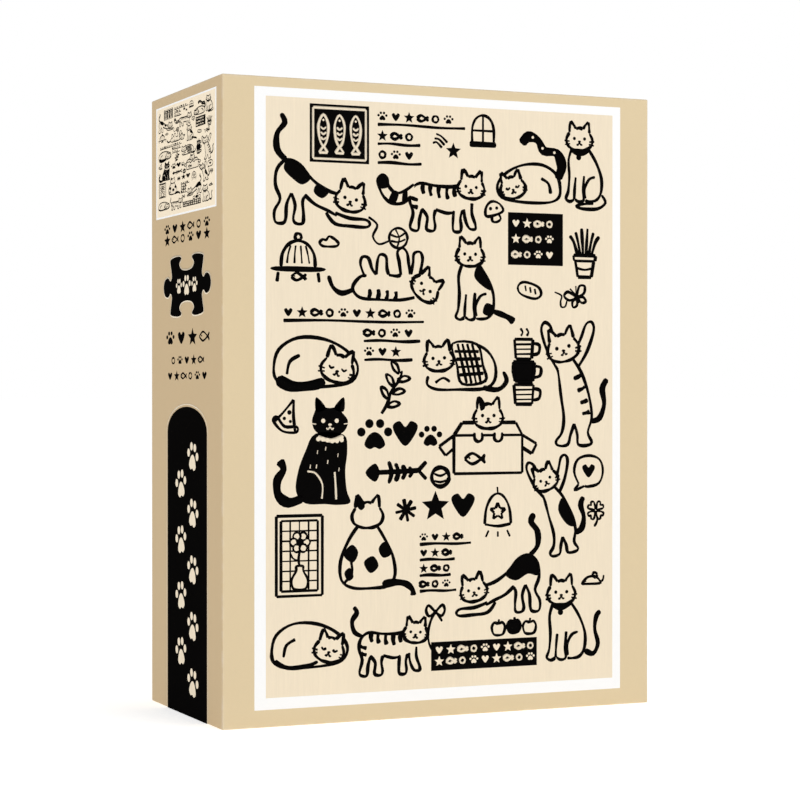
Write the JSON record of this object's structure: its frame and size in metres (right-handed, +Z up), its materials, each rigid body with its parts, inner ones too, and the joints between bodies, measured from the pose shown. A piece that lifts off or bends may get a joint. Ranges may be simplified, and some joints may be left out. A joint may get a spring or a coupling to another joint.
{
  "type": "boxed jigsaw puzzle",
  "caption": "Rigid telescoping cardboard box, standing upright, holding a film bag of loose jigsaw pieces and a folded picture sheet.",
  "frame": {"origin": "under the middle of the closed box, on the surface it stands on", "axes": "+Z up; the front picture faces -Y, the printed spine faces -X and the base's back panel faces +Y"},
  "size_m": [0.1564, 0.075, 0.21],
  "materials": {
    "greyboard": "bare recycled greyboard",
    "covering_paper": "printed paper with a soft satin film",
    "corner_tape": "gummed paper tape",
    "film": "clear polyethylene film",
    "sheet_paper": "uncoated printed sheet",
    "puzzle_board": "velvety printed face on blue-grey board"
  },
  "bodies": {
    "base": {"base_board": "greyboard", "base_paper_panel": "covering_paper", "base_paper_left": "covering_paper", "base_paper_right": "covering_paper", "base_paper_top": "covering_paper", "base_paper_bottom": "covering_paper", "base_tape_top_left": "corner_tape", "base_tape_top_right": "corner_tape", "base_tape_bottom_left": "corner_tape", "base_tape_bottom_right": "corner_tape"},
    "lid": {"lid_board": "greyboard", "lid_paper_panel": "covering_paper", "lid_paper_left": "covering_paper", "lid_paper_right": "covering_paper", "lid_paper_top": "covering_paper", "lid_paper_bottom": "covering_paper", "lid_tape_top_left": "corner_tape", "lid_tape_top_right": "corner_tape", "lid_tape_bottom_left": "corner_tape", "lid_tape_bottom_right": "corner_tape"},
    "sheet": {"picture_sheet": "sheet_paper"},
    "bag": {"film_bag": "film", "puzzle_row_01": "puzzle_board", "puzzle_row_02": "puzzle_board", "puzzle_row_03": "puzzle_board", "puzzle_row_04": "puzzle_board", "puzzle_row_05": "puzzle_board", "puzzle_row_06": "puzzle_board", "puzzle_row_07": "puzzle_board", "puzzle_row_08": "puzzle_board", "puzzle_row_09": "puzzle_board", "puzzle_row_10": "puzzle_board", "puzzle_row_11": "puzzle_board", "puzzle_row_12": "puzzle_board", "puzzle_row_13": "puzzle_board", "puzzle_row_14": "puzzle_board", "puzzle_row_15": "puzzle_board", "puzzle_row_16": "puzzle_board", "puzzle_row_17": "puzzle_board", "puzzle_row_18": "puzzle_board", "puzzle_row_19": "puzzle_board", "puzzle_row_20": "puzzle_board", "puzzle_row_21": "puzzle_board", "puzzle_row_22": "puzzle_board", "puzzle_row_23": "puzzle_board", "puzzle_row_24": "puzzle_board", "puzzle_row_25": "puzzle_board"}
  },
  "joints": [
    {"name": "lid_lift_off", "type": "slide", "parent": "base", "child": "lid", "axis": [0, -1, 0], "range_m": [0, 0.26]},
    {"name": "sheet_lift_out", "type": "slide", "parent": "base", "child": "sheet", "axis": [0, -1, 0], "range_m": [0, 0.17]},
    {"name": "bag_lift_out", "type": "slide", "parent": "base", "child": "bag", "axis": [0, -1, 0], "range_m": [0, 0.1]}
  ],
  "couplings": [
    {"joint": "sheet_lift_out", "follows": "lid_lift_off", "ratio": 0.62},
    {"joint": "bag_lift_out", "follows": "lid_lift_off", "ratio": 0.34}
  ]
}
